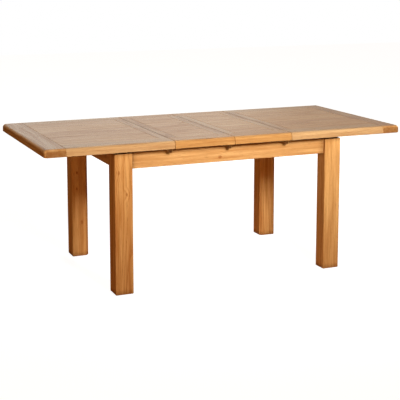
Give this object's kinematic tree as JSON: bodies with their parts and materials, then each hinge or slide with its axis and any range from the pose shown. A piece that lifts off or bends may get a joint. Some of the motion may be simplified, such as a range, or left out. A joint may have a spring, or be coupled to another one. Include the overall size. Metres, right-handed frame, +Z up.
{
  "type": "extending dining table",
  "caption": "Oak extending dining table on square legs: top halves draw out on wooden runners, loose leaves lift out of the gap between them, swivelling catches lock the joints.",
  "frame": {"origin": "on the floor under the middle of the table", "axes": "+X along the length to the right end, +Y to the back, +Z up; the front long side faces -Y"},
  "size_m": [2.004, 0.922, 0.776],
  "materials": {
    "oak_top": "satin lacquered oak",
    "oak_frame": "satin lacquered oak",
    "slide_wood": "waxed plain hardwood",
    "catch_metal": "dark bronzed brass",
    "plated_steel": "zinc plated",
    "nylon": "matt moulded nylon"
  },
  "bodies": {
    "base": {"back_apron": "oak_frame", "back_bearer": "slide_wood", "back_left_leg": "oak_frame", "back_right_leg": "oak_frame", "base_screws": "plated_steel", "corner_blocks": "slide_wood", "foot_glides": "nylon", "front_apron": "oak_frame", "front_bearer": "slide_wood", "front_left_leg": "oak_frame", "front_right_leg": "oak_frame", "left_apron": "oak_frame", "left_cross_rail": "slide_wood", "leg_bolts": "plated_steel", "leg_nuts": "plated_steel", "leg_washers": "plated_steel", "right_apron": "oak_frame", "right_cross_rail": "slide_wood"},
    "left_top": {"left_back_edge_board": "oak_top", "left_catch_plates": "catch_metal", "left_end_board": "oak_top", "left_field_boards": "oak_top", "left_front_edge_board": "oak_top", "left_joint_rail": "oak_top", "left_packing_strips": "slide_wood", "left_runner_stops": "slide_wood", "left_runners": "slide_wood", "left_top_screws": "plated_steel"},
    "right_top": {"right_back_edge_board": "oak_top", "right_end_board": "oak_top", "right_field_boards": "oak_top", "right_front_edge_board": "oak_top", "right_joint_rail": "oak_top", "right_keepers": "catch_metal", "right_packing_strips": "slide_wood", "right_runner_stops": "slide_wood", "right_runners": "slide_wood", "right_top_screws": "plated_steel"},
    "leaf_1": {"leaf_1_catch_plates": "catch_metal", "leaf_1_edge_boards": "oak_top", "leaf_1_field_boards": "oak_top", "leaf_1_keepers": "catch_metal", "leaf_1_left_rail": "oak_top", "leaf_1_right_rail": "oak_top", "leaf_1_top_screws": "plated_steel"},
    "leaf_2": {"leaf_2_catch_plates": "catch_metal", "leaf_2_edge_boards": "oak_top", "leaf_2_field_boards": "oak_top", "leaf_2_keepers": "catch_metal", "leaf_2_left_rail": "oak_top", "leaf_2_right_rail": "oak_top", "leaf_2_top_screws": "plated_steel"},
    "left_joint_back_lever": {"left_joint_back_lever": "catch_metal"},
    "left_joint_front_lever": {"left_joint_front_lever": "catch_metal"},
    "mid_joint_back_lever": {"mid_joint_back_lever": "catch_metal"},
    "mid_joint_front_lever": {"mid_joint_front_lever": "catch_metal"},
    "right_joint_back_lever": {"right_joint_back_lever": "catch_metal"},
    "right_joint_front_lever": {"right_joint_front_lever": "catch_metal"}
  },
  "joints": [
    {"name": "left_top_draw", "type": "slide", "parent": "base", "child": "left_top", "axis": [-1, 0, 0], "range_m": [0, 0.04]},
    {"name": "right_top_draw", "type": "slide", "parent": "base", "child": "right_top", "axis": [1, 0, 0], "range_m": [0, 0.04]},
    {"name": "leaf_1_lift", "type": "slide", "parent": "base", "child": "leaf_1", "axis": [0, 0, 1], "range_m": [0, 0.25]},
    {"name": "leaf_2_lift", "type": "slide", "parent": "base", "child": "leaf_2", "axis": [0, 0, 1], "range_m": [0, 0.25]},
    {"name": "left_joint_front_catch", "type": "hinge", "parent": "left_top", "child": "left_joint_front_lever", "pos_m": [-0.342, -0.444, 0.7314], "axis": [0, 0, 1], "range_deg": [0, 180]},
    {"name": "left_joint_back_catch", "type": "hinge", "parent": "left_top", "child": "left_joint_back_lever", "pos_m": [-0.342, 0.444, 0.7314], "axis": [0, 0, -1], "range_deg": [0, 180]},
    {"name": "mid_joint_front_catch", "type": "hinge", "parent": "leaf_1", "child": "mid_joint_front_lever", "pos_m": [-0.012, -0.444, 0.7314], "axis": [0, 0, 1], "range_deg": [0, 180]},
    {"name": "mid_joint_back_catch", "type": "hinge", "parent": "leaf_1", "child": "mid_joint_back_lever", "pos_m": [-0.012, 0.444, 0.7314], "axis": [0, 0, -1], "range_deg": [0, 180]},
    {"name": "right_joint_front_catch", "type": "hinge", "parent": "leaf_2", "child": "right_joint_front_lever", "pos_m": [0.318, -0.444, 0.7314], "axis": [0, 0, 1], "range_deg": [0, 180]},
    {"name": "right_joint_back_catch", "type": "hinge", "parent": "leaf_2", "child": "right_joint_back_lever", "pos_m": [0.318, 0.444, 0.7314], "axis": [0, 0, -1], "range_deg": [0, 180]}
  ]
}
